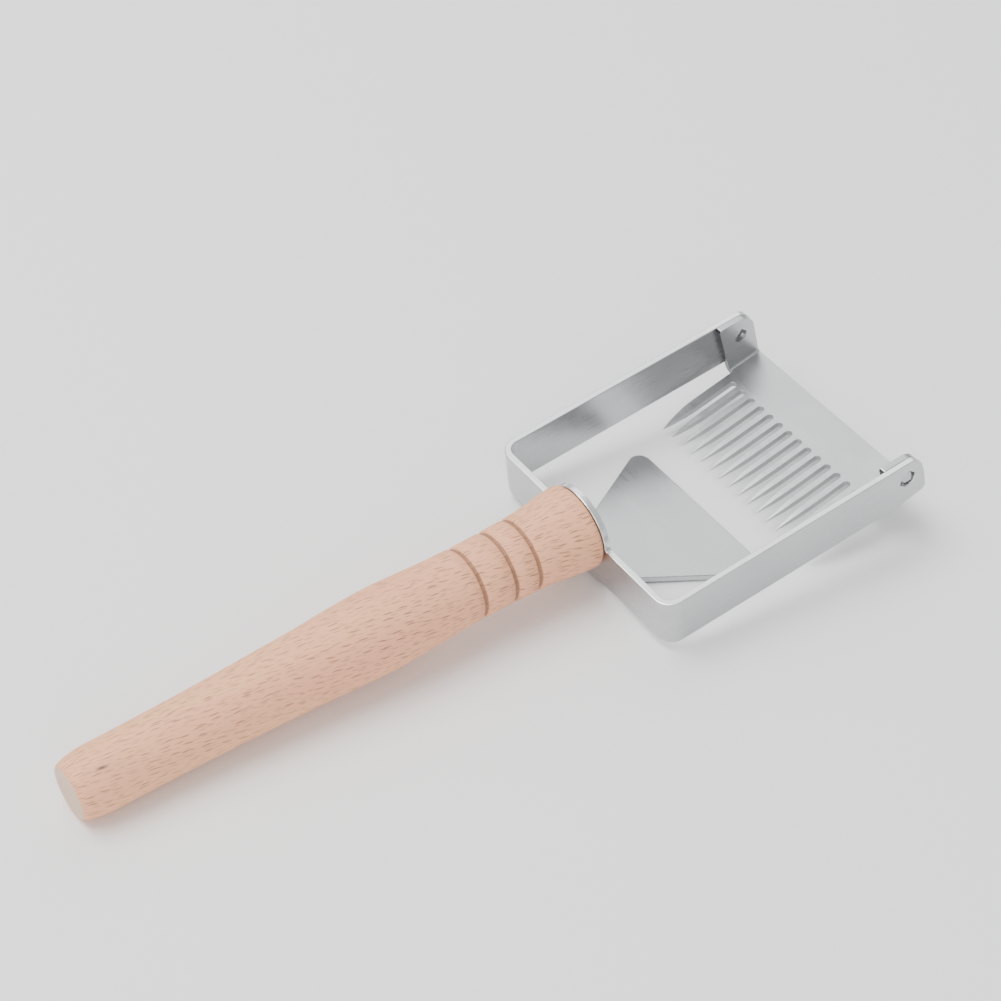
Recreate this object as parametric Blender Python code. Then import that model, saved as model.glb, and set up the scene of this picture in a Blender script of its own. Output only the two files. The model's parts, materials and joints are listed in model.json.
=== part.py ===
"""Uncapping fork: a folded stainless frame with a guide plate, a comb of pointed tines
staked between its arms, and a turned beech handle held by one screw.

Everything is modelled in the tool's own frame: +X from the handle to the comb, +Y to the left,
+Z up, with x = 0 on the rear face of the back bar and z = 0 halfway up the bar. An empty then
lays the whole tool down as it lies on a bench, on the guide plate's front edge and the butt.
"""

import math

import bmesh
import bpy
from mathutils import Vector
from mathutils.geometry import delaunay_2d_cdt

MM = 0.001

# Driving sizes
OVERALL_LENGTH = 240.0 * MM
FRAME_WIDTH = 75.0 * MM
SHEET = 1.8 * MM
CLEARANCE = 0.3 * MM

# Frame: one strip bent into a U, with a round seat above the back bar and a guide plate below it
BAR_HEIGHT = 15.0 * MM
CORNER_RADIUS = 5.0 * MM
SEAT_RADIUS = 11.4 * MM
SEAT_CENTRE_Z = 8.4 * MM
SCREW_HOLE_RADIUS = 2.8 * MM
GUIDE_SLOPE = math.radians(8.8)
GUIDE_REACH = 40.9 * MM
GUIDE_ROOT_WIDTH = 13.6 * MM
GUIDE_FRONT_WIDTH = 60.0 * MM
GUIDE_CORNER_RADIUS = 3.2 * MM
FOLD_RADIUS = 0.7 * MM

# Arm end, seen from the side: (x, z, corner radius)
ARM_END = [
    (84.9 * MM, BAR_HEIGHT / 2, 4.5 * MM),
    (86.8 * MM, 1.3 * MM, 16.0 * MM),
    (87.6 * MM, -5.8 * MM, 1.8 * MM),
    (77.3 * MM, -BAR_HEIGHT / 2, 8.0 * MM),
]

# Staked joint: a hexagonal hole in each arm takes a six-sided tongue pressed out of the comb's ear
STAKE_X = 81.0 * MM
STAKE_Z = 1.5 * MM
STAKE_TURN = math.radians(16.0)
SIXTH = math.radians(60.0)
ARM_HOLE_RADIUS = 2.7 * MM
EAR_WINDOW_RADIUS = 2.45 * MM
TONGUE_SLIT = 0.45 * MM
TONGUE_DIRECTION = STAKE_TURN - SIXTH
TONGUE_ANGLE = math.radians(24.0)

# Comb: a plate that slopes down to the rear, split into tines, with two upturned ears
COMB_SLOPE = math.radians(8.0)
COMB_FRONT_X = 87.55 * MM
COMB_FRONT_Z = -8.0 * MM
TINE_COUNT = 16
TINE_PITCH = 4.13 * MM
TINE_WIDTH = 1.84 * MM
TINE_TIP_WIDTH = 0.24 * MM
TINE_TAPER = 15.0 * MM
SLOT_END = 12.5 * MM
COMB_LENGTH = 37.2 * MM
OUTER_TINE_EDGE = 33.0 * MM
POINT_LENGTH = 9.5 * MM
POINT_DROP = 0.75 * MM
EAR_FOLD_RADIUS = 0.8 * MM
EAR_TOP_REAR_X = 73.7 * MM
EAR_ROOT_REAR = 10.6 * MM
EAR_FRONT_RADIUS = 5.0 * MM

# Handle, turned about its own axis: (distance from the bar, radius) between front rim and butt
HANDLE_TILT = math.radians(3.8)
HANDLE_SHAPE = [
    (2.5, 12.1),
    (6.0, 11.8),
    (14.0, 10.7),
    (22.0, 10.35),
    (31.0, 10.1),
    (41.0, 10.2),
    (50.0, 10.6),
    (61.0, 11.1),
    (72.0, 10.8),
    (84.0, 10.1),
    (96.0, 9.7),
    (110.0, 9.25),
    (126.0, 8.95),
    (143.0, 8.9),
]
FRONT_RIM_RADIUS = 2.0 * MM
BUTT_FACE_RADIUS = 6.7 * MM
BUTT_ROUNDING = 9.0 * MM
GROOVES = [19.3 * MM, 26.6 * MM, 36.1 * MM]
GROOVE_WIDTH = 2.0 * MM
GROOVE_DEPTH = 0.7 * MM
BORE_RADIUS = 2.8 * MM
BORE_DEPTH = 34.0 * MM

# Wood screw through the seat into the handle
SCREW_LENGTH = 30.0 * MM
SCREW_RADIUS = 2.5 * MM
SCREW_CORE_RADIUS = 1.75 * MM
SCREW_PLAIN_SHANK = 6.0 * MM
SCREW_PITCH = 2.2 * MM
SCREW_HEAD_RADIUS = 4.75 * MM
SCREW_HEAD_HEIGHT = 3.0 * MM
RECESS_DEPTH = 1.7 * MM
RECESS_WIDTH = 1.1 * MM
RECESS_LENGTH = 4.6 * MM

ARC_STEP = math.radians(9.0)
AROUND_HANDLE = 40
AROUND_SCREW = 20

BAR_TOP = BAR_HEIGHT / 2
BAR_BOTTOM = -BAR_HEIGHT / 2
HALF_WIDTH = FRAME_WIDTH / 2
HALF_COMB = HALF_WIDTH - SHEET - CLEARANCE


def clear_scene():
    for item in list(bpy.data.objects):
        bpy.data.objects.remove(item, do_unlink=True)


def material(name, colour, roughness, metallic):
    made = bpy.data.materials.new(name)
    made.use_nodes = True
    shader = made.node_tree.nodes["Principled BSDF"]
    shader.inputs["Base Color"].default_value = (*colour, 1.0)
    shader.inputs["Roughness"].default_value = roughness
    shader.inputs["Metallic"].default_value = metallic
    made.diffuse_color = (*colour, 1.0)
    return made


# Outlines


def arc(centre_a, centre_b, radius, start, stop):
    steps = max(2, math.ceil(abs(stop - start) / ARC_STEP))
    angles = [start + (stop - start) * k / steps for k in range(steps + 1)]
    return [(centre_a + radius * math.cos(t), centre_b + radius * math.sin(t)) for t in angles]


def rounded(corners):
    """Turns a closed list of (a, b, radius) corners into points, each radius into an arc."""
    points = []
    for i, (a, b, radius) in enumerate(corners):
        corner = Vector((a, b))
        if radius == 0:
            points.append((a, b))
            continue
        before = (Vector(corners[i - 1][:2]) - corner).normalized()
        after = (Vector(corners[(i + 1) % len(corners)][:2]) - corner).normalized()
        half = before.angle(after) / 2
        centre = corner + (before + after).normalized() * (radius / math.sin(half))
        first = corner + before * (radius / math.tan(half)) - centre
        last = corner + after * (radius / math.tan(half)) - centre
        start = math.atan2(first.y, first.x)
        turn = (math.atan2(last.y, last.x) - start + math.pi) % (2 * math.pi) - math.pi
        points += arc(centre.x, centre.y, radius, start, start + turn)
    return points


def plain(points):
    return [(a, b, 0.0) for a, b in points]


def mirrored(half):
    """Closes an outline given for a >= 0, from its top to its bottom."""
    return half + [(-a, b, radius) for a, b, radius in reversed(half) if a > 0]


def inside(point, loop):
    crossings = 0
    for (a0, b0), (a1, b1) in zip(loop, loop[1:] + loop[:1]):
        if (b0 > point[1]) != (b1 > point[1]):
            if point[0] < a0 + (point[1] - b0) / (b1 - b0) * (a1 - a0):
                crossings += 1
    return crossings % 2 == 1


# Sheet metal


def blank_mesh(outline, holes, creases, lines):
    """A flat mesh of a blank, divided along creases (point pairs) and whole lines (axis, value)."""
    points = []
    edges = []
    for loop in [outline] + holes:
        first = len(points)
        points += [Vector(p) for p in loop]
        edges += [(first + k, first + (k + 1) % len(loop)) for k in range(len(loop))]
    for start, stop in creases:
        nearest = [min(range(len(points)), key=lambda k: (points[k] - Vector(p)).length)
                   for p in (start, stop)]
        edges.append(tuple(nearest))
    found = delaunay_2d_cdt(points, edges, [], 0, 1e-8)
    flat = bmesh.new()
    corners = [flat.verts.new((p.x, p.y, 0.0)) for p in found[0]]
    for face in found[2]:
        middle = sum((found[0][k] for k in face), Vector((0.0, 0.0))) / len(face)
        if inside(middle, outline) and not any(inside(middle, hole) for hole in holes):
            flat.faces.new([corners[k] for k in face])
    loose = [v for v in flat.verts if not v.link_faces]
    bmesh.ops.delete(flat, geom=loose, context="VERTS")
    for axis, value in lines:
        normal = Vector((1, 0, 0)) if axis == 0 else Vector((0, 1, 0))
        everything = flat.verts[:] + flat.edges[:] + flat.faces[:]
        bmesh.ops.bisect_plane(flat, geom=everything, dist=1e-7, plane_co=normal * value, plane_no=normal)
    return flat


def folded_sheet(name, flat, place, finish):
    """Folds a flat blank: place(a, b, depth) is the point at depth 0 (outside) or 1 (inside)."""
    solid = bmesh.new()
    layers = []
    for depth in (0.0, 1.0):
        layers.append({v: solid.verts.new(place(v.co.x, v.co.y, depth)) for v in flat.verts})
    for face in flat.faces:
        solid.faces.new([layers[0][v] for v in face.verts])
        solid.faces.new([layers[1][v] for v in reversed(face.verts)])
    for edge in flat.edges:
        if len(edge.link_faces) == 1:
            a, b = edge.verts
            solid.faces.new([layers[0][a], layers[0][b], layers[1][b], layers[1][a]])
    bmesh.ops.recalc_face_normals(solid, faces=solid.faces[:])
    flat.free()
    return mesh_object(name, solid, finish)


def mesh_object(name, solid, finish):
    mesh = bpy.data.meshes.new(name)
    solid.to_mesh(mesh)
    solid.free()
    mesh.materials.append(finish)
    made = bpy.data.objects.new(name, mesh)
    bpy.context.scene.collection.objects.link(made)
    return made


def fold(run, fold_radius, angle, depth):
    """Offsets along and across a sheet that bends towards its inside face after run = 0.

    Returns (forward, sunk): how far the point has turned away from the flat part's line, and how
    far it lies from the flat part's outer face, for a bend of the given angle.
    """
    middle = fold_radius + SHEET / 2
    radius = fold_radius + (1 - depth) * SHEET
    turned = min(run / middle, angle)
    beyond = max(0.0, run - middle * angle)
    along = radius * math.sin(turned) + beyond * math.cos(turned)
    across = fold_radius + SHEET - radius * math.cos(turned) + beyond * math.sin(turned)
    return along, across


def arm_hole():
    """The hexagonal hole in an arm, as (x, z) points."""
    turns = [STAKE_TURN + k * SIXTH for k in range(6)]
    return [(STAKE_X + ARM_HOLE_RADIUS * math.cos(t), STAKE_Z + ARM_HOLE_RADIUS * math.sin(t))
            for t in turns]


def tongue_sizes():
    """Half width, point and root of the tongue, measured from the stake's centre."""
    half_width = EAR_WINDOW_RADIUS * math.cos(SIXTH / 2) - TONGUE_SLIT
    point = EAR_WINDOW_RADIUS - TONGUE_SLIT / math.cos(SIXTH / 2)
    return half_width, point, -EAR_WINDOW_RADIUS / 2


def ear_slit():
    """The slit that frees the tongue, as (x, z) points.

    The first five points follow the window, the last five follow the tongue from root to root.
    """
    half_width, point, root = tongue_sizes()
    side = half_width + TONGUE_SLIT
    radius = EAR_WINDOW_RADIUS
    window = [(root, side), (radius / 2, side), (radius, 0.0), (radius / 2, -side), (root, -side)]
    tongue = [
        (root, -half_width),
        (point / 2, -half_width),
        (point, 0.0),
        (point / 2, half_width),
        (root, half_width),
    ]
    cosine, sine = math.cos(TONGUE_DIRECTION), math.sin(TONGUE_DIRECTION)
    turned = [(a * cosine - b * sine, a * sine + b * cosine) for a, b in window + tongue]
    return [(STAKE_X + a, STAKE_Z + b) for a, b in turned]


def tongue_rise(x, z):
    """How far a point of the ear is pushed outwards, which is more than 0 only on the tongue."""
    half_width, point, root = tongue_sizes()
    cosine, sine = math.cos(TONGUE_DIRECTION), math.sin(TONGUE_DIRECTION)
    dx, dz = x - STAKE_X, z - STAKE_Z
    along = dx * cosine + dz * sine
    across = dz * cosine - dx * sine
    slack = 0.02 * MM
    if abs(across) > half_width + slack or not root < along < point + slack:
        return 0.0
    return (along - root) * math.tan(TONGUE_ANGLE)


def build_frame(tool, finish):
    """The blank runs along a, measured on the sheet's middle from the tool's middle line."""
    bend = CORNER_RADIUS - SHEET / 2
    corner_start = HALF_WIDTH - CORNER_RADIUS
    corner_stop = corner_start + bend * math.pi / 2
    guide_angle = math.pi / 2 - GUIDE_SLOPE
    guide_start = BAR_BOTTOM - (FOLD_RADIUS + SHEET / 2) * guide_angle
    straight = (GUIDE_REACH - SHEET - FOLD_RADIUS) / math.cos(GUIDE_SLOPE)
    guide_stop = guide_start - straight

    def on_arm(x):
        return corner_stop + x - CORNER_RADIUS

    half = [(0.0, SEAT_CENTRE_Z + SEAT_RADIUS, 0.0)]
    half += plain(arc(0.0, SEAT_CENTRE_Z, SEAT_RADIUS, math.pi / 2, 0.0)[1:])
    half.append((SEAT_RADIUS, BAR_TOP, SEAT_CENTRE_Z - BAR_TOP - 0.05 * MM))
    half += [(on_arm(x), z, radius) for x, z, radius in ARM_END]
    half.append((GUIDE_ROOT_WIDTH / 2, BAR_BOTTOM, 0.6 * MM))
    half.append((GUIDE_FRONT_WIDTH / 2, guide_stop, GUIDE_CORNER_RADIUS))
    outline = rounded(mirrored(half))

    holes = [arc(0.0, SEAT_CENTRE_Z, SCREW_HOLE_RADIUS, 0.0, 2 * math.pi)[:-1]]
    for side in (1, -1):
        holes.append([(side * on_arm(x), z) for x, z in arm_hole()])

    corner_steps, fold_steps = 6, 5
    lines = []
    for k in range(corner_steps + 1):
        a = corner_start + (corner_stop - corner_start) * k / corner_steps
        lines += [(0, a), (0, -a)]
    for k in range(fold_steps + 1):
        lines.append((1, BAR_BOTTOM + (guide_start - BAR_BOTTOM) * k / fold_steps))

    def place(a, b, depth):
        if b < BAR_BOTTOM and abs(a) < corner_start:
            down, forward = fold(BAR_BOTTOM - b, FOLD_RADIUS, guide_angle, depth)
            return Vector((forward, a, BAR_BOTTOM - down))
        if abs(a) <= corner_start:
            return Vector((depth * SHEET, a, b))
        sideways, forward = fold(abs(a) - corner_start, CORNER_RADIUS - SHEET, math.pi / 2, depth)
        return Vector((forward, math.copysign(corner_start + sideways, a), b))

    made = folded_sheet("frame", blank_mesh(outline, holes, [], lines), place, finish)
    made.parent = tool
    return made


def tine_half_width(from_tip):
    taper = max(0.0, 1 - from_tip / TINE_TAPER)
    return TINE_TIP_WIDTH / 2 + (TINE_WIDTH - TINE_TIP_WIDTH) / 2 * (1 - taper ** 2)


def tine_side(middle, reach, side):
    """One side of a tine from where its taper starts to its point, as (u, y) points.

    reach is the tine's half width on this side; the point lies on the tine's middle.
    """
    steps = 7
    points = []
    for k in range(steps + 1):
        from_tip = TINE_TAPER * (1 - k / steps) ** 1.3
        swell = (tine_half_width(from_tip) - TINE_TIP_WIDTH / 2) / (TINE_WIDTH - TINE_TIP_WIDTH) * 2
        width = TINE_TIP_WIDTH / 2 + (reach - TINE_TIP_WIDTH / 2) * swell
        points.append((from_tip - COMB_LENGTH, middle + side * width))
    return points


def comb_place_flat(x, z):
    """Tool coordinates (x, z) to the comb's own (u forward, v up), from its top front edge."""
    dx, dz = x - COMB_FRONT_X, z - COMB_FRONT_Z
    cosine, sine = math.cos(COMB_SLOPE), math.sin(COMB_SLOPE)
    return dx * cosine + dz * sine, dz * cosine - dx * sine


def build_comb(tool, finish):
    """The blank lies flat as (u, b): u forward from the front edge, b across, ears laid flat."""
    fold_start = HALF_COMB - SHEET - EAR_FOLD_RADIUS
    fold_run = (EAR_FOLD_RADIUS + SHEET / 2) * math.pi / 2

    def on_ear(x, z):
        u, v = comb_place_flat(x, z)
        return u, fold_start + fold_run + v - EAR_FOLD_RADIUS

    front_top_x = COMB_FRONT_X - (BAR_TOP - COMB_FRONT_Z) * math.tan(COMB_SLOPE)
    half = [(*on_ear(front_top_x, BAR_TOP), EAR_FRONT_RADIUS)]
    half.append((*on_ear(EAR_TOP_REAR_X, BAR_TOP), 0.8 * MM))
    half.append((-EAR_ROOT_REAR, OUTER_TINE_EDGE, 0.4 * MM))
    slot_half = (TINE_PITCH - TINE_WIDTH) / 2
    slot_centre = -SLOT_END - slot_half
    for k in range(TINE_COUNT // 2):
        middle = ((TINE_COUNT - 1) / 2 - k) * TINE_PITCH
        outer = OUTER_TINE_EDGE - middle if k == 0 else TINE_WIDTH / 2
        half += plain(tine_side(middle, outer, 1))
        half += plain(reversed(tine_side(middle, TINE_WIDTH / 2, -1)))
        slot = middle - TINE_PITCH / 2
        if slot > TINE_PITCH / 4:
            half += plain(arc(slot_centre, slot, slot_half, math.pi / 2, -math.pi / 2))
    half += plain(arc(slot_centre, 0.0, slot_half, math.pi / 2, 0.0))
    other = [(u, -b, radius) for u, b, radius in reversed(half[:-1])]
    outline = rounded(half + other)

    slit = [on_ear(x, z) for x, z in ear_slit()]
    holes = [slit, [(u, -b) for u, b in slit]]
    hinge = (slit[-5], slit[-1])
    creases = [hinge, tuple((u, -b) for u, b in hinge)]

    fold_steps, point_steps = 5, 6
    lines = []
    for k in range(fold_steps + 1):
        b = fold_start + fold_run * k / fold_steps
        lines += [(1, b), (1, -b)]
    for k in range(1, point_steps + 1):
        lines.append((0, POINT_LENGTH * k / point_steps - COMB_LENGTH))

    cosine, sine = math.cos(COMB_SLOPE), math.sin(COMB_SLOPE)

    def place(u, b, depth):
        across, up = fold(max(0.0, abs(b) - fold_start), EAR_FOLD_RADIUS, math.pi / 2, depth)
        if abs(b) <= fold_start:
            from_tip = u + COMB_LENGTH
            drop = POINT_DROP * max(0.0, 1 - from_tip / POINT_LENGTH) ** 1.5
            return Vector((u, b, (depth - 1) * SHEET - (2 * depth - 1) * drop))
        v = up - SHEET
        x = COMB_FRONT_X + u * cosine - v * sine
        z = COMB_FRONT_Z + u * sine + v * cosine
        return Vector((u, math.copysign(fold_start + across + tongue_rise(x, z), b), v))

    made = folded_sheet("comb", blank_mesh(outline, holes, creases, lines), place, finish)
    made.location = (COMB_FRONT_X, 0.0, COMB_FRONT_Z)
    made.rotation_euler = (0.0, -COMB_SLOPE, 0.0)
    made.parent = tool
    return made


# Turned pieces


def smooth_through(knots, station):
    """Cubic curve through the knots (station, radius), with slopes taken from the neighbours."""
    last = len(knots) - 1

    def slope(k):
        low, high = knots[max(0, k - 1)], knots[min(last, k + 1)]
        return (high[1] - low[1]) / (high[0] - low[0])

    k = max(0, min(last - 1, sum(1 for knot in knots if knot[0] <= station) - 1))
    (s0, r0), (s1, r1) = knots[k], knots[k + 1]
    span = s1 - s0
    t = (station - s0) / span
    return ((2 * t ** 3 - 3 * t ** 2 + 1) * r0 + (t ** 3 - 2 * t ** 2 + t) * span * slope(k)
            + (3 * t ** 2 - 2 * t ** 3) * r1 + (t ** 3 - t ** 2) * span * slope(k + 1))


def handle_radius(station):
    radius = smooth_through([(s * MM, r * MM) for s, r in HANDLE_SHAPE], station)
    for groove in GROOVES:
        off = abs(station - groove) / (GROOVE_WIDTH / 2)
        if off < 1:
            radius -= GROOVE_DEPTH * math.cos(off * math.pi / 2)
    return radius


def handle_length():
    """Along the axis from the bar to the butt, so that the tool has its overall length."""
    front = COMB_FRONT_X + SHEET * math.sin(COMB_SLOPE)
    lower_rim = BUTT_FACE_RADIUS * math.sin(HANDLE_TILT)
    return (OVERALL_LENGTH - front - lower_rim) / math.cos(HANDLE_TILT)


def handle_stations():
    """Stations between the two rims, closer together in the grooves."""
    first = HANDLE_SHAPE[0][0] * MM
    last = handle_length() - BUTT_ROUNDING
    coarse = [first + (last - first) * k / 34 for k in range(35)]
    clear = [s for s in coarse if all(abs(s - g) > GROOVE_WIDTH * 0.8 for g in GROOVES)]
    fine = [g + GROOVE_WIDTH * k / 6 for g in GROOVES for k in range(-3, 4)]
    return sorted(clear + fine)


def turned_mesh(profile, around):
    """A closed solid turned about X from (x, radius) points, its first and last on the axis."""
    solid = bmesh.new()
    rings = []
    for x, radius in profile:
        if radius == 0:
            rings.append([solid.verts.new((x, 0.0, 0.0))])
            continue
        turns = [2 * math.pi * (k + 0.5) / around for k in range(around)]
        rings.append([solid.verts.new((x, radius * math.cos(t), radius * math.sin(t))) for t in turns])
    for ring, following in zip(rings, rings[1:]):
        for k in range(around):
            corners = [ring[k % len(ring)], ring[(k + 1) % len(ring)]]
            corners += [following[(k + 1) % len(following)], following[k % len(following)]]
            solid.faces.new(list(dict.fromkeys(corners)))
    bmesh.ops.recalc_face_normals(solid, faces=solid.faces[:])
    return solid


def build_handle(tool, finish):
    length = handle_length()
    front_radius = HANDLE_SHAPE[0][1] * MM
    profile = [(0.0, 0.0)]
    profile += arc(FRONT_RIM_RADIUS, front_radius - FRONT_RIM_RADIUS, FRONT_RIM_RADIUS,
                   math.pi, math.pi / 2)[:-1]
    profile += [(station, handle_radius(station)) for station in handle_stations()]
    rounding_start = length - BUTT_ROUNDING
    drop = handle_radius(rounding_start) - BUTT_FACE_RADIUS
    for along, out in arc(0.0, 0.0, 1.0, math.pi / 2, 0.0)[1:]:
        profile.append((rounding_start + BUTT_ROUNDING * along, BUTT_FACE_RADIUS + drop * out))
    profile.append((length, 0.0))
    solid = turned_mesh([(-along, radius) for along, radius in profile], AROUND_HANDLE)

    # The front end is cut to lie flat on the seat, so its first rings lean against the tilt.
    settled = 10.0 * MM
    for vert in solid.verts:
        share = max(0.0, 1 + vert.co.x / settled)
        vert.co.x -= share * (vert.co.z * math.tan(HANDLE_TILT) + CLEARANCE)
    made = mesh_object("handle", solid, finish)
    made.location = (0.0, 0.0, SEAT_CENTRE_Z)
    made.rotation_euler = (0.0, HANDLE_TILT, 0.0)
    made.parent = tool

    cutter = mesh_object("handle_bore_cutter", turned_mesh([
        (5.0 * MM, 0.0),
        (5.0 * MM, BORE_RADIUS),
        (-BORE_DEPTH, BORE_RADIUS),
        (-BORE_DEPTH - BORE_RADIUS / 2, 0.0),
    ], AROUND_SCREW), finish)
    cutter.location = (0.0, 0.0, SEAT_CENTRE_Z)
    cutter.parent = tool
    subtract(made, cutter)
    return made


def subtract(body, cutter):
    cutter.hide_render = True
    cutter.display_type = "WIRE"
    cut = body.modifiers.new("cut", "BOOLEAN")
    cut.operation = "DIFFERENCE"
    cut.solver = "EXACT"
    cut.object = cutter


def build_screw(tool, finish):
    """Pan head screw: x = 0 under its head, with the shank towards -X."""
    head = arc(0.0, 0.0, 1.0, 0.0, math.pi / 2)
    profile = [(SCREW_HEAD_HEIGHT * c, SCREW_HEAD_RADIUS * s) for c, s in head]
    profile[0] = (SCREW_HEAD_HEIGHT, 0.0)
    profile += [(0.0, SCREW_RADIUS), (-SCREW_PLAIN_SHANK, SCREW_RADIUS)]
    start = -SCREW_PLAIN_SHANK - SCREW_PITCH / 2
    threads = int((SCREW_LENGTH - SCREW_PLAIN_SHANK) / SCREW_PITCH) - 2
    for k in range(threads):
        x = start - k * SCREW_PITCH
        profile += [(x, SCREW_CORE_RADIUS), (x - SCREW_PITCH / 2, SCREW_RADIUS)]
    profile += [(start - threads * SCREW_PITCH, SCREW_CORE_RADIUS), (-SCREW_LENGTH, 0.0)]
    made = mesh_object("handle_screw", turned_mesh(profile, AROUND_SCREW), finish)
    made.location = (SHEET + CLEARANCE, 0.0, SEAT_CENTRE_Z)
    made.parent = tool

    cross = bmesh.new()
    bmesh.ops.create_cube(cross, size=1.0)
    for vert in cross.verts:
        vert.co.x = SCREW_HEAD_HEIGHT + vert.co.x * 2 * RECESS_DEPTH
        vert.co.y *= RECESS_LENGTH
        vert.co.z *= RECESS_WIDTH
    for name, turn in (("recess_cutter_a", math.pi / 4), ("recess_cutter_b", -math.pi / 4)):
        cutter = mesh_object(name, cross.copy(), finish)
        cutter.location = made.location
        cutter.rotation_euler = (turn, 0.0, 0.0)
        cutter.parent = tool
        subtract(made, cutter)
    cross.free()
    return made


# The tool as it lies


def lowest(piece, tool):
    """The piece's lowest corner as the tool lies now."""
    corners = [tool.matrix_world @ piece.matrix_local @ vert.co for vert in piece.data.vertices]
    return min(corners, key=lambda corner: corner.z)


def lay_down(tool, pieces):
    """Stands the tool on z = 0 on two of its pieces, the middle of its box over the origin.

    The frame's and the handle's lowest points are brought level, which takes a few turns because
    the lowest points change a little as the tool tips.
    """
    frame, handle = pieces["frame"], pieces["handle"]
    for _ in range(8):
        bpy.context.view_layer.update()
        line = lowest(frame, tool) - lowest(handle, tool)
        tool.rotation_euler.y += math.atan2(line.z, line.x)
    bpy.context.view_layer.update()
    corners = [tool.matrix_world @ piece.matrix_local @ vert.co
               for piece in pieces.values() for vert in piece.data.vertices]
    low = [min(corner[axis] for corner in corners) for axis in range(3)]
    high = [max(corner[axis] for corner in corners) for axis in range(3)]
    tool.location = (-(low[0] + high[0]) / 2, -(low[1] + high[1]) / 2, -low[2])
    bpy.context.view_layer.update()


def build_tool():
    tool = bpy.data.objects.new("tool_axes", None)
    bpy.context.scene.collection.objects.link(tool)
    pieces = {
        "frame": build_frame(tool, material("frame_stainless", (0.62, 0.63, 0.64), 0.32, 1.0)),
        "comb": build_comb(tool, material("comb_stainless", (0.60, 0.61, 0.62), 0.32, 1.0)),
        "handle": build_handle(tool, material("turned_beech", (0.72, 0.52, 0.40), 0.6, 0.0)),
        "screw": build_screw(tool, material("zinc_plated_steel", (0.66, 0.66, 0.64), 0.35, 1.0)),
    }
    lay_down(tool, pieces)


clear_scene()
build_tool()
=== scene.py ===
"""Looks for the uncapping fork: satin stainless frame and comb, turned beech handle.

The steel sheets are the CAD solids with their cut edges eased and their bends shaded round. The
handle is the CAD solid in beech with flecks, burnt grooves, end grain and a small knot. The CAD's
clearances at the ears and at the seat are shown closed, all but GAP_LEFT.
"""

import json
import math

import bmesh
import bpy
from mathutils import Matrix, Vector


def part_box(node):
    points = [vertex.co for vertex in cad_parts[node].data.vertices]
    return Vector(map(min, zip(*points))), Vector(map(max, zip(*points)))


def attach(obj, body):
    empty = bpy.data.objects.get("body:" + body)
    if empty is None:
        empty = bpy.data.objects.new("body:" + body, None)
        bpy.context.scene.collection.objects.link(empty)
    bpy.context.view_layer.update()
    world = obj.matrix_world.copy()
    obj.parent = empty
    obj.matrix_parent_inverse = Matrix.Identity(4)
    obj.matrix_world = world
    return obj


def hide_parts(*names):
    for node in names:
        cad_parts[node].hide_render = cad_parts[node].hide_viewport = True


MM = 0.001

# Sizes of the tool, in its own axes
SEAT_TOP = 19.8 * MM
SEAT_CENTRE = 8.4 * MM
GUIDE_SLOPE = math.radians(8.8)
HANDLE_TILT = math.radians(3.8)
HANDLE_LENGTH = 152.1 * MM
GROOVES = [19.3 * MM, 26.6 * MM, 36.1 * MM]
GROOVE_BURN = 1.15 * MM
HANDLE_RADIUS = 10.0 * MM
BAR_TOP = 7.5 * MM
CLEARANCE = 0.3 * MM
GAP_LEFT = 0.02 * MM
EARS_BEYOND = 33.0 * MM
RIM_BEFORE = -2.3 * MM
GRAIN_SLANT = math.radians(-9.0)
KNOT = Vector((-144.0, -4.1, 7.9)) * MM

# Ranges in which the steel's painted edge highlights and painted crevice shade fade in: across the
# strip's edges, along the arms, up from the bar, in front of the seat, on the ears, and in the cosine of
# how squarely a surface faces an axis
STRIP_EDGE_BELOW = (BAR_TOP - 0.4 * MM, BAR_TOP - 0.2 * MM)
STRIP_EDGE_ABOVE = (BAR_TOP + 0.2 * MM, BAR_TOP + 0.4 * MM)
ARM_END = (70.0 * MM, 71.0 * MM)
SEAT_FOOT = (BAR_TOP, BAR_TOP + 0.3 * MM)
SEAT_FRONT = (5.0 * MM, 6.0 * MM)
EAR_SIDE = (33.4 * MM, 33.7 * MM)
EAR_REAR = (78.0 * MM, 79.0 * MM)
SQUARE_ON = (0.5, 0.8)

# Steel and zinc
FRAME_STEEL = (0.52, 0.53, 0.54)
FRAME_ROUGHNESS = 0.28
COMB_STEEL = (0.50, 0.51, 0.52)
COMB_ROUGHNESS = 0.30
# Painted highlight colour for the frame's cut edges
PAINTED_EDGE_HIGHLIGHT = (0.92, 0.93, 0.94)
# Painted shade colour for the crevice between the comb's ears and the arms
PAINTED_CREVICE_SHADE = (0.10, 0.10, 0.11)
ZINC_DULL = (0.58, 0.57, 0.53)
ZINC_BRIGHT = (0.70, 0.70, 0.67)

# Beech
PINK_BEECH = (0.910, 0.420, 0.255)
YELLOW_BEECH = (0.930, 0.490, 0.260)
STREAK = (0.760, 0.370, 0.240)
FIBRE = (0.620, 0.290, 0.180)
FLECK = (0.260, 0.120, 0.070)
END_PALE = (0.760, 0.555, 0.420)
END_DOTS = (0.620, 0.430, 0.320)
KNOT_HALO = (0.480, 0.290, 0.205)
KNOT_HEART = (0.110, 0.060, 0.045)
CHAR_DARK = (0.180, 0.085, 0.045)
CHAR_BROWN = (0.290, 0.150, 0.085)
BOLD_CELL = (4.6 * MM, 1.35 * MM)
BOLD_DASH = (3.5 * MM, 0.36 * MM)
SMALL_CELL = (3.0 * MM, 1.05 * MM)
SMALL_DASH = (2.3 * MM, 0.27 * MM)

# Mesh finish
WELD = 0.001 * MM
FLAT_WITHIN = math.radians(0.3)
SHEET_CREASE = math.radians(35.0)
TURNED_CREASE = math.radians(60.0)
LARGEST_BEND_FACE = 30.0 * MM * MM
FRAME_EASING = 0.22 * MM
COMB_EASING = 0.045 * MM
SCREW_EASING = 0.08 * MM

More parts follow.
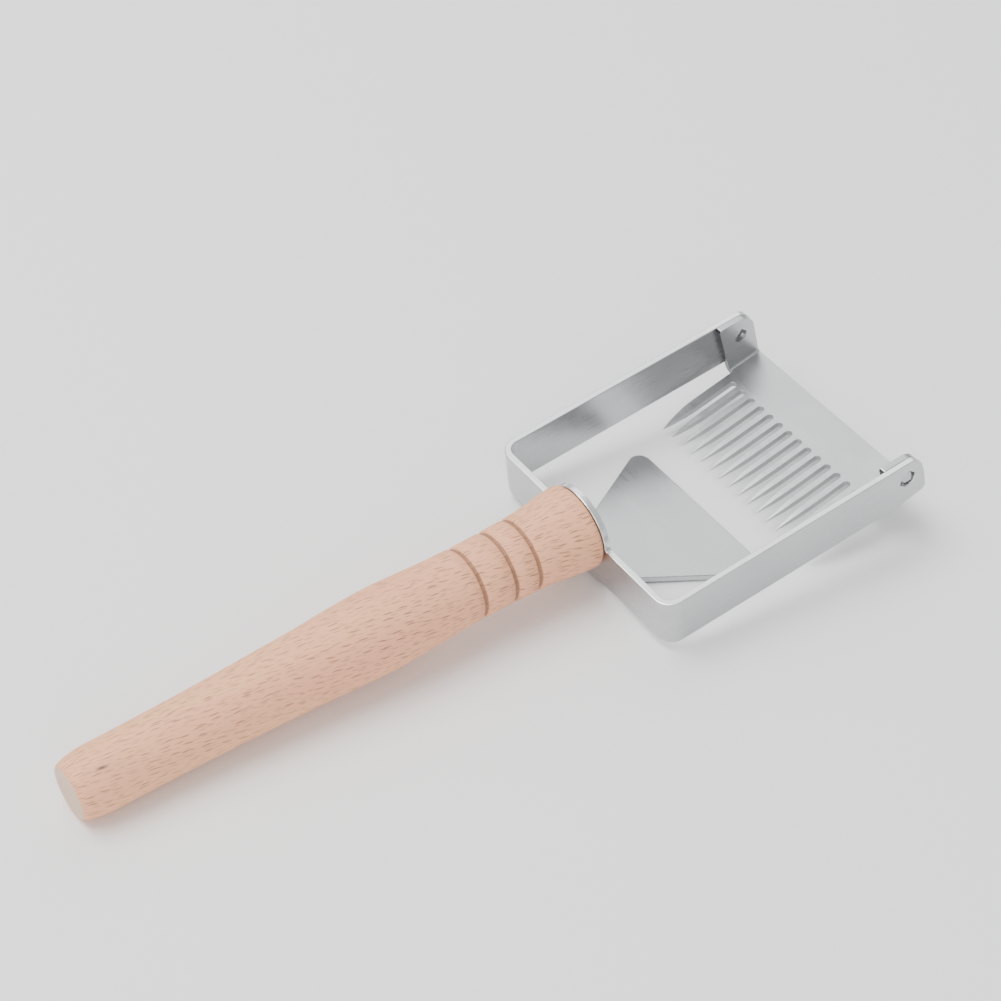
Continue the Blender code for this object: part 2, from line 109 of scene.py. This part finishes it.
# Camera
CAMERA_TARGET = Vector((22.3, 22.7, 14.0)) * MM
CAMERA_DISTANCE = 710.0 * MM
CAMERA_AZIMUTH = math.radians(-126.7)
CAMERA_ELEVATION = math.radians(43.0)
CAMERA_ROLL = math.radians(2.4)
CAMERA_LENS = 95.5
SENSOR_WIDTH = 36.0

# Studio, in metres and watts
FLOOR_REACH = 4
PAPER = (0.92, 0.92, 0.92, 1.0)
WORLD_COLOUR = (1.0, 1.0, 1.0, 1.0)
WORLD_STRENGTH = 0.65
KEY_POWER = 29.0
BACK_POWER = 6.3
FILL_POWER = 7.0

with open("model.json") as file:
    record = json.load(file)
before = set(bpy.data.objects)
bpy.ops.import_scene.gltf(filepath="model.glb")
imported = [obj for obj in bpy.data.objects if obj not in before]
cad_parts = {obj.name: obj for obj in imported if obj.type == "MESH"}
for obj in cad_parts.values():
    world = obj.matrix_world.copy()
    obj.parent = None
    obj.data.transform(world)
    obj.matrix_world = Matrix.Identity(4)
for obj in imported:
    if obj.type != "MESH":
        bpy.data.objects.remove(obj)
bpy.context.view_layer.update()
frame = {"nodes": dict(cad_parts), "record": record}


def tool_axes():
    """Matrix of the tool's own axes: the origin is on the back bar's rear face, halfway up."""
    guide = next(m for m in frame["record"]["mounts"] if m["name"] == "guide_face")
    raised = GUIDE_SLOPE + math.asin(guide["axis"][0])
    low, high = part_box("frame")
    seat_top = Vector((low.x, 0.0, high.z))
    turn = Matrix.Rotation(-raised, 4, "Y")
    return Matrix.Translation(seat_top - turn @ Vector((0.0, 0.0, SEAT_TOP))) @ turn


TOOL = tool_axes()
HANDLE = TOOL @ Matrix.Translation((0.0, 0.0, SEAT_CENTRE)) @ Matrix.Rotation(HANDLE_TILT, 4, "Y")


# Materials


class Nodes:
    """Short way of adding nodes to one material."""

    def __init__(self, name):
        self.material = bpy.data.materials.new(name)
        self.material.use_nodes = True
        self.tree = self.material.node_tree
        self.shader = self.tree.nodes["Principled BSDF"]

    def add(self, kind, **inputs):
        node = self.tree.nodes.new(kind)
        self.feed(node, **inputs)
        return node

    def feed(self, node, **inputs):
        """Links or sets inputs by name, or by number where the name is an underscore and digits."""
        for key, value in inputs.items():
            socket = node.inputs[int(key[1:])] if key[0] == "_" else node.inputs[key.replace("_", " ")]
            if isinstance(value, bpy.types.NodeSocket):
                self.tree.links.new(value, socket)
            else:
                socket.default_value = value

    def math(self, operation, first, second=0.0):
        node = self.add("ShaderNodeMath", _0=first, _1=second)
        node.operation = operation
        return node.outputs[0]

    def noise(self, place, stretch, detail=2.0, roughness=0.5, offset=(0.0, 0.0, 0.0)):
        """Noise with stretch (x, y, z) features per metre."""
        mapping = self.add("ShaderNodeMapping", Vector=place, Scale=stretch, Location=offset)
        node = self.add("ShaderNodeTexNoise", Vector=mapping.outputs[0], Scale=1.0, Detail=detail,
                        Roughness=roughness)
        return node.outputs["Fac"]

    def between(self, value, low, high, to_low=0.0, to_high=1.0):
        node = self.add("ShaderNodeMapRange", Value=value, From_Min=low, From_Max=high, To_Min=to_low,
                        To_Max=to_high)
        node.clamp = True
        return node.outputs["Result"]

    def mix(self, share, first, second):
        node = self.tree.nodes.new("ShaderNodeMix")
        node.data_type = "RGBA"
        self.tree.links.new(share, node.inputs[0])
        for socket, value in ((node.inputs[6], first), (node.inputs[7], second)):
            if isinstance(value, bpy.types.NodeSocket):
                self.tree.links.new(value, socket)
            else:
                socket.default_value = (*value, 1.0)
        return node.outputs[2]

    def local(self, axes):
        """Coordinates in metres along the given axes, from the object's own coordinates."""
        source = self.add("ShaderNodeTexCoord").outputs["Object"]
        node = self.tree.nodes.new("ShaderNodeMapping")
        node.vector_type = "TEXTURE"
        self.feed(node, Vector=source, Location=axes.translation, Rotation=axes.to_euler())
        return node.outputs[0]

    def bump(self, height, strength, distance, normal=None):
        node = self.add("ShaderNodeBump", Height=height, Strength=strength, Distance=distance)
        if normal:
            self.feed(node, Normal=normal)
        return node.outputs[0]


def facing(steel, axis):
    """How squarely the surface faces along one of the tool's axes, either way: 0 to 1."""
    normal = steel.add("ShaderNodeTexCoord").outputs["Normal"]
    direction = tuple(TOOL.to_3x3().col[axis])
    node = steel.add("ShaderNodeVectorMath", _0=normal, _1=direction)
    node.operation = "DOT_PRODUCT"
    return steel.math("ABSOLUTE", node.outputs["Value"])


def painted_edge_highlight_mask(steel, place):
    """1 where a painted highlight goes on the frame's cut edges: along arms and bar, round the arm ends
    and round the seat.
    """
    parts = steel.add("ShaderNodeSeparateXYZ", Vector=place).outputs
    height = steel.math("ABSOLUTE", parts[2])
    on_strip = steel.math("MULTIPLY", steel.between(height, *STRIP_EDGE_BELOW),
                          steel.between(height, *STRIP_EDGE_ABOVE, 1.0, 0.0))
    along = steel.math("MULTIPLY", on_strip, steel.between(facing(steel, 2), *SQUARE_ON))
    arm_end = steel.math("MULTIPLY", steel.between(parts[0], *ARM_END),
                         steel.between(facing(steel, 1), *SQUARE_ON, 1.0, 0.0))
    seat = steel.math("MULTIPLY", steel.between(parts[2], *SEAT_FOOT),
                      steel.between(facing(steel, 0), *SQUARE_ON, 1.0, 0.0))
    seat = steel.math("MULTIPLY", seat, steel.between(parts[0], *SEAT_FRONT, 1.0, 0.0))
    return steel.math("MAXIMUM", along, steel.math("MAXIMUM", arm_end, seat))


def painted_crevice_shade_mask(steel, place):
    """1 on the rear edges of the comb's ears, where painted shade stands for the crevice beside the
    arms.
    """
    parts = steel.add("ShaderNodeSeparateXYZ", Vector=place).outputs
    outer = steel.between(steel.math("ABSOLUTE", parts[1]), *EAR_SIDE)
    rear = steel.math("MULTIPLY", outer, steel.between(facing(steel, 0), *SQUARE_ON))
    return steel.math("MULTIPLY", rear, steel.between(parts[0], *EAR_REAR, 1.0, 0.0))


def stainless(name, shade, roughness, is_frame):
    """Satin sheet: fine brush lines along the strip, faint clouding and a few finger smudges."""
    steel = Nodes(name)
    place = steel.local(TOOL)
    brush = steel.noise(place, (55.0, 55.0, 5200.0), 3.0, 0.7)
    fine = steel.noise(place, (900.0, 900.0, 2600.0), 2.0, 0.6)
    cloud = steel.noise(place, (38.0, 38.0, 90.0), 3.0, 0.55, (3.1, 7.7, 1.9))
    smudge = steel.between(steel.noise(place, (70.0, 55.0, 70.0), 4.0, 0.6, (9.0, 2.0, 5.0)), 0.52, 0.72)
    tone = steel.between(cloud, 0.3, 0.7, -0.25, 0.25)
    tone = steel.math("ADD", tone, steel.between(brush, 0.25, 0.75, -0.2, 0.2))
    light = tuple(c + 0.04 for c in shade)
    dark = tuple(c - 0.04 for c in shade)
    colour = steel.mix(steel.math("ADD", tone, 0.5), dark, light)
    rough = steel.between(brush, 0.2, 0.8, roughness - 0.05, roughness + 0.06)
    rough = steel.math("ADD", rough, steel.math("MULTIPLY", smudge, 0.07))
    if is_frame:
        # Painted highlight on the frame's cut edges
        colour = steel.mix(painted_edge_highlight_mask(steel, place), colour, PAINTED_EDGE_HIGHLIGHT)
    else:
        # Painted shade on the rear edges of the comb's ears, for the crevice beside the arms
        colour = steel.mix(painted_crevice_shade_mask(steel, place), colour, PAINTED_CREVICE_SHADE)
    grain = steel.bump(brush, 0.07, 0.05 * MM)
    grain = steel.bump(fine, 0.06, 0.05 * MM, grain)
    steel.feed(steel.shader, Base_Color=colour, Roughness=rough, Normal=grain)
    steel.shader.inputs["Metallic"].default_value = 1.0
    return steel.material


def zinc_plate(name):
    """Bright plating with a faint yellow cast and slight mottling."""
    zinc = Nodes(name)
    place = zinc.local(TOOL)
    mottle = zinc.noise(place, (900.0, 900.0, 900.0), 3.0, 0.6)
    colour = zinc.mix(zinc.between(mottle, 0.35, 0.65), ZINC_DULL, ZINC_BRIGHT)
    zinc.feed(zinc.shader, Base_Color=colour, Roughness=zinc.between(mottle, 0.3, 0.7, 0.26, 0.42))
    zinc.feed(zinc.shader, Normal=zinc.bump(mottle, 0.08, 0.05 * MM))
    zinc.shader.inputs["Metallic"].default_value = 1.0
    return zinc.material


def near(beech, along, station, reach):
    """1 within reach of a station on the handle's axis, 0 well outside it."""
    off = beech.math("ABSOLUTE", beech.math("ADD", along, station))
    return beech.between(off, reach * 0.75, reach * 1.15, 1.0, 0.0)


def flecks(beech, along, around, cell, dash, seed):
    """Short dashes along the grain, one per cell: cell and dash are (length, width) in metres."""
    u = beech.math("ADD", beech.math("DIVIDE", along, cell[0]), seed)
    v = beech.math("DIVIDE", around, cell[1])
    spot = beech.add("ShaderNodeCombineXYZ", _0=u, _1=v).outputs[0]
    cells = beech.add("ShaderNodeTexVoronoi", Vector=spot, Scale=1.0, Randomness=0.9)
    cells.voronoi_dimensions = "2D"
    offset = beech.add("ShaderNodeVectorMath", _0=spot, _1=cells.outputs["Position"])
    offset.operation = "SUBTRACT"
    shape = (2 * cell[0] / dash[0], 2 * cell[1] / dash[1], 0.0)
    scaled = beech.add("ShaderNodeVectorMath", _0=offset.outputs[0], _1=shape)
    scaled.operation = "MULTIPLY"
    far = beech.add("ShaderNodeVectorMath", _0=scaled.outputs[0])
    far.operation = "LENGTH"
    chance = beech.add("ShaderNodeSeparateColor", Color=cells.outputs["Color"]).outputs[0]
    strength = beech.between(chance, 0.1, 0.8, 0.30, 1.0)
    return beech.math("MULTIPLY", beech.between(far.outputs["Value"], 0.55, 1.0, 1.0, 0.0), strength)


def turned_beech(name):
    """Steamed beech, sanded and bare: flecks and streaks along the grain, burnt grooves."""
    beech = Nodes(name)
    place = beech.local(HANDLE)
    parts = beech.add("ShaderNodeSeparateXYZ", Vector=place).outputs
    along = parts[0]
    turned = beech.math("ARCTAN2", parts[1], parts[2])
    around = beech.math("MULTIPLY", turned, HANDLE_RADIUS)
    around = beech.math("SUBTRACT", around, beech.math("MULTIPLY", along, math.tan(GRAIN_SLANT)))
    grain_axes = HANDLE @ Matrix.Rotation(GRAIN_SLANT, 4, "Z")
    grain = beech.local(grain_axes)

    broad = beech.noise(grain, (9.0, 90.0, 90.0), 3.0, 0.55)
    streak = beech.noise(grain, (30.0, 900.0, 900.0), 3.0, 0.6, (4.0, 1.0, 8.0))
    fibre = beech.noise(grain, (160.0, 3600.0, 3600.0), 2.0, 0.5, (2.0, 9.0, 4.0))
    waver = beech.noise(place, (260.0, 260.0, 260.0), 2.0, 0.5)
    bent = beech.math("ADD", around, beech.math("MULTIPLY", waver, 0.9 * MM))

    colour = beech.mix(beech.between(broad, 0.32, 0.68), PINK_BEECH, YELLOW_BEECH)
    colour = beech.mix(beech.between(streak, 0.45, 0.75, 0.0, 0.28), colour, STREAK)
    colour = beech.mix(beech.between(fibre, 0.50, 0.75, 0.0, 0.16), colour, FIBRE)
    bold = flecks(beech, along, bent, BOLD_CELL, BOLD_DASH, 0.37)
    small = flecks(beech, along, bent, SMALL_CELL, SMALL_DASH, 7.21)
    fleck = beech.math("MAXIMUM", bold, beech.math("MULTIPLY", small, 0.7))
    colour = beech.mix(beech.math("MULTIPLY", fleck, 0.82), colour, FLECK)

    # End grain on the butt: paler and greyer, with fine dots
    end = beech.between(along, -HANDLE_LENGTH + 0.25 * MM, -HANDLE_LENGTH + 0.05 * MM)
    dots = beech.noise(place, (900.0, 3200.0, 3200.0), 2.0, 0.6)
    end_colour = beech.mix(beech.between(dots, 0.35, 0.7), END_PALE, END_DOTS)
    colour = beech.mix(end, colour, end_colour)

    # Knot near the butt
    knot_spot = HANDLE @ KNOT
    knot_axes = Matrix.Translation(knot_spot) @ grain_axes.to_3x3().to_4x4()
    knot_place = beech.add("ShaderNodeMapping", Vector=beech.local(knot_axes), Scale=(0.5, 1.9, 1.0))
    knot_far = beech.add("ShaderNodeVectorMath", _0=knot_place.outputs[0])
    knot_far.operation = "LENGTH"
    knot_range = beech.math("ADD", knot_far.outputs["Value"], beech.math("MULTIPLY", streak, 1.6 * MM))
    halo = beech.between(knot_range, 1.2 * MM, 4.0 * MM, 0.35, 0.0)
    colour = beech.mix(halo, colour, KNOT_HALO)
    knot = beech.between(knot_range, 1.0 * MM, 1.7 * MM, 0.9, 0.0)
    colour = beech.mix(knot, colour, KNOT_HEART)

    # Burnt grooves
    ragged = beech.math("ADD", along, beech.math("MULTIPLY", waver, 0.3 * MM))
    ragged = beech.math("SUBTRACT", ragged, 0.15 * MM)
    burns = [near(beech, ragged, station, GROOVE_BURN / 2) for station in GROOVES]
    burn = beech.math("MAXIMUM", burns[0], beech.math("MAXIMUM", burns[1], burns[2]))
    charred = beech.mix(beech.between(streak, 0.35, 0.65), CHAR_DARK, CHAR_BROWN)
    colour = beech.mix(beech.math("MULTIPLY", burn, 0.85), colour, charred)

    rough = beech.between(streak, 0.3, 0.7, 0.52, 0.66)
    turning = beech.noise(place, (2600.0, 12.0, 12.0), 2.0, 0.6)
    relief = beech.bump(streak, 0.10, 0.12 * MM)
    relief = beech.bump(beech.math("MULTIPLY", fleck, -1.0), 0.35, 0.06 * MM, relief)
    relief = beech.bump(turning, 0.08, 0.05 * MM, relief)
    beech.feed(beech.shader, Base_Color=colour, Roughness=rough, Normal=relief)
    beech.shader.inputs["Specular IOR Level"].default_value = 0.35
    return beech.material


# Pieces


def ears_on_arms(place):
    """Moves the comb's ears out until they almost touch the arms."""
    if abs(place.y) > EARS_BEYOND:
        place.y += math.copysign(CLEARANCE - GAP_LEFT, place.y)


def rim_on_seat(place):
    """Moves the handle's front forward until it almost touches the seat."""
    if place.x > RIM_BEFORE:
        place.x += CLEARANCE - GAP_LEFT


def shown(node, name, finish, eased=0.0, closing=None):
    """A finished piece in place of a CAD node, welded, smooth over its bends and flat elsewhere.

    Sheet and screw get eased edges; closing is (axes, move) for a clearance that is shown closed.
    """
    crease = SHEET_CREASE if eased else TURNED_CREASE
    solid = bmesh.new()
    solid.from_mesh(frame["nodes"][node].data)
    bmesh.ops.remove_doubles(solid, verts=solid.verts, dist=WELD)
    if eased:
        bmesh.ops.dissolve_limit(solid, angle_limit=FLAT_WITHIN, verts=solid.verts, edges=solid.edges)
    if closing:
        axes, move = closing
        for vert in solid.verts:
            place = axes.inverted() @ vert.co
            move(place)
            vert.co = axes @ place
    mesh = bpy.data.meshes.new(name)
    solid.to_mesh(mesh)
    solid.free()
    mesh.materials.append(finish)
    mesh.set_sharp_from_angle(angle=crease)
    for face in mesh.polygons:
        face.use_smooth = not eased or face.area < LARGEST_BEND_FACE
        face.material_index = 0
    piece = bpy.data.objects.new(name, mesh)
    bpy.context.scene.collection.objects.link(piece)
    if eased:
        bevel = piece.modifiers.new("eased edges", "BEVEL")
        bevel.width = eased
        bevel.segments = 2
        bevel.limit_method = "ANGLE"
        bevel.angle_limit = crease
        bevel.use_clamp_overlap = False
        bevel.loop_slide = False
    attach(piece, "root")
    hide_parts(node)


def build_pieces():
    frame_steel = stainless("satin stainless, frame", FRAME_STEEL, FRAME_ROUGHNESS, True)
    comb_steel = stainless("satin stainless, comb", COMB_STEEL, COMB_ROUGHNESS, False)
    beech = turned_beech("turned beech")
    zinc = zinc_plate("zinc plate")
    shown("frame", "folded_frame", frame_steel, FRAME_EASING)
    shown("comb", "pointed_comb", comb_steel, COMB_EASING, (TOOL, ears_on_arms))
    shown("handle", "beech_handle", beech, closing=(HANDLE, rim_on_seat))
    shown("handle_screw", "seat_screw", zinc, SCREW_EASING)


# Studio


def area_light(name, place, size, power):
    data = bpy.data.lights.new(name, "AREA")
    data.shape = "RECTANGLE"
    data.size, data.size_y = size
    data.energy = power
    lamp = bpy.data.objects.new(name, data)
    lamp.location = place
    lamp.rotation_euler = (CAMERA_TARGET - Vector(place)).to_track_quat("-Z", "Y").to_euler()
    bpy.context.scene.collection.objects.link(lamp)


def build_studio():
    mesh = bpy.data.meshes.new("floor")
    reach = FLOOR_REACH
    corners = [(-reach, -reach, 0), (reach, -reach, 0), (reach, reach, 0), (-reach, reach, 0)]
    mesh.from_pydata(corners, [], [(0, 1, 2, 3)])
    floor = bpy.data.objects.new("floor", mesh)
    bpy.context.scene.collection.objects.link(floor)
    paper = Nodes("pale paper")
    paper.feed(paper.shader, Base_Color=PAPER, Roughness=0.8)
    mesh.materials.append(paper.material)

    world = bpy.data.worlds.new("studio")
    world.use_nodes = True
    background = world.node_tree.nodes["Background"]
    background.inputs["Color"].default_value = WORLD_COLOUR
    background.inputs["Strength"].default_value = WORLD_STRENGTH
    bpy.context.scene.world = world
    area_light("key", (-0.5, 0.35, 1.4), (1.2, 1.0), KEY_POWER)
    area_light("back", (0.68, 0.90, 1.04), (1.3, 1.0), BACK_POWER)
    area_light("fill", (-0.7, -0.9, 0.75), (1.2, 0.9), FILL_POWER)


def build_camera():
    away = Vector((
        math.cos(CAMERA_ELEVATION) * math.cos(CAMERA_AZIMUTH),
        math.cos(CAMERA_ELEVATION) * math.sin(CAMERA_AZIMUTH),
        math.sin(CAMERA_ELEVATION),
    ))
    data = bpy.data.cameras.new("camera")
    data.lens = CAMERA_LENS
    data.sensor_width = SENSOR_WIDTH
    camera = bpy.data.objects.new("camera", data)
    facing = (-away).to_track_quat("-Z", "Y").to_matrix().to_4x4()
    place = Matrix.Translation(CAMERA_TARGET + away * CAMERA_DISTANCE)
    camera.matrix_world = place @ facing @ Matrix.Rotation(CAMERA_ROLL, 4, "Z")
    bpy.context.scene.collection.objects.link(camera)
    bpy.context.scene.camera = camera


build_camera()
build_pieces()
build_studio()
